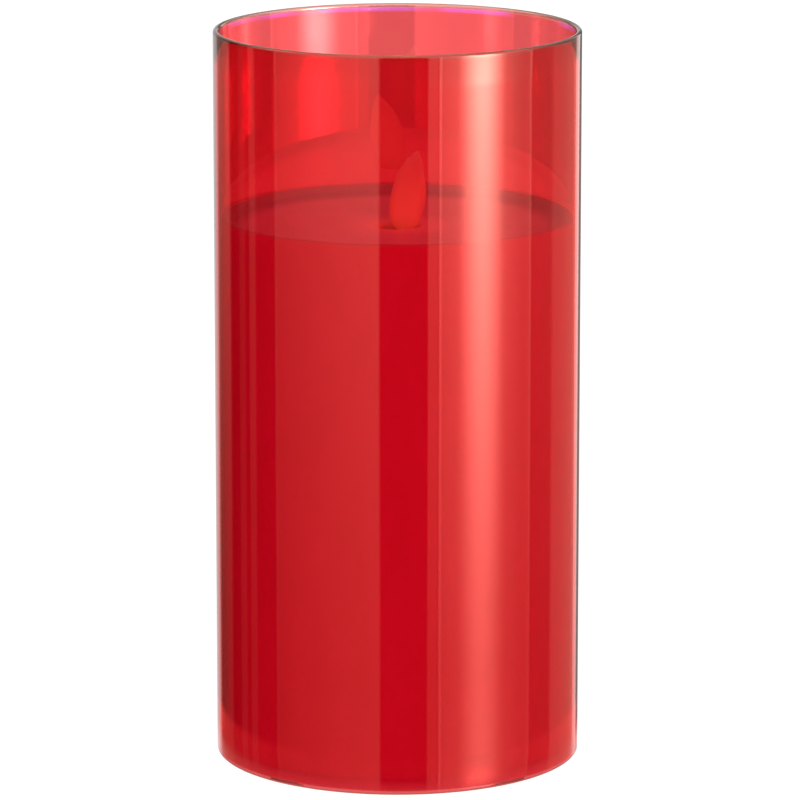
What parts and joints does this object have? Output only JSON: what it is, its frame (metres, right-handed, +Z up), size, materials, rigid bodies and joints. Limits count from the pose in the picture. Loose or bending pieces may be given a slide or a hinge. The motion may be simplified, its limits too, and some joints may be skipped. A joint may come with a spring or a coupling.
{
  "type": "flameless LED candle",
  "caption": "Flameless candle: hollow wax pillar with a swinging flame blade in an open coloured glass tube, on a base with a battery bay and slide switch.",
  "frame": {"origin": "centre of the plane the feet stand on, on the glass tube's axis", "axes": "+Z up along the glass tube's axis; -Y is the front; the flame swings in the XZ plane and leans to +X at rest"},
  "size_m": [0.1, 0.1, 0.202],
  "materials": {
    "red_glass": "clear blown glass with a red lustre coat",
    "wax": "smooth cast wax",
    "base_plastic": "fine moulded texture",
    "silicone": "translucent sealant",
    "rubber": "soft clear-grey rubber",
    "door_plastic": "fine moulded texture",
    "cell_sleeve": "printed sleeve, bare ends",
    "contact_metal": "nickel plated",
    "switch_steel": "zinc plated",
    "switch_plastic": "moulded",
    "slider_plastic": "moulded, ribbed grip",
    "screw_steel": "zinc plated",
    "tower_plastic": "moulded",
    "bobbin_plastic": "moulded",
    "coil_copper": "enamelled copper wire",
    "collar_plastic": "moulded, wax coloured",
    "wire_steel": "drawn wire",
    "flame_plastic": "translucent frosted",
    "magnet_metal": "nickel plated",
    "led_epoxy": "clear moulded epoxy",
    "clip_plastic": "moulded",
    "board_laminate": "solder resist over laminate",
    "chip_plastic": "moulded",
    "capacitor_can": "sleeved can",
    "resistor_ceramic": "printed film on ceramic",
    "lead_red": "PVC insulation",
    "lead_black": "PVC insulation"
  },
  "bodies": {
    "candle": {"glass_cylinder": "red_glass", "wax_shell": "wax", "base_housing": "base_plastic", "bond_ring": "silicone", "rubber_feet": "rubber", "battery_cell_front": "cell_sleeve", "battery_cell_back": "cell_sleeve", "battery_spring_front": "contact_metal", "battery_spring_back": "contact_metal", "jumper_contact": "contact_metal", "positive_contact": "contact_metal", "negative_contact": "contact_metal", "switch_flange": "switch_steel", "switch_body": "switch_plastic", "switch_pins": "contact_metal", "switch_screws": "screw_steel", "tower_front": "tower_plastic", "tower_back": "tower_plastic", "tower_screws": "screw_steel", "foot_screws": "screw_steel", "coil_bobbin": "bobbin_plastic", "coil_winding": "coil_copper", "pivot_collar": "collar_plastic", "pivot_wire": "wire_steel", "flame_led": "led_epoxy", "led_clip": "clip_plastic", "led_legs": "contact_metal", "circuit_board": "board_laminate", "controller_chip": "chip_plastic", "capacitor": "capacitor_can", "chip_resistors": "resistor_ceramic", "drive_transistor": "chip_plastic", "positive_lead": "lead_red", "negative_lead": "lead_black", "switch_leads": "lead_black", "coil_leads": "coil_copper"},
    "flame": {"flame_blade": "flame_plastic", "pendulum_magnet": "magnet_metal"},
    "battery_door": {"battery_door": "door_plastic"},
    "switch_knob": {"switch_slider": "slider_plastic"}
  },
  "joints": [
    {"name": "flame_swing", "type": "hinge", "parent": "candle", "child": "flame", "pos_m": [0, 0, 0.1406], "axis": [0, 1, 0], "range_deg": [-25.2, 2.8]},
    {"name": "door_hinge", "type": "hinge", "parent": "candle", "child": "battery_door", "pos_m": [-0.0303, -0.006, 0.00275], "axis": [0, 1, 0], "range_deg": [0, 75]},
    {"name": "switch_slide", "type": "slide", "parent": "candle", "child": "switch_knob", "axis": [1, 0, 0], "range_m": [-0.0044, 0]}
  ]
}
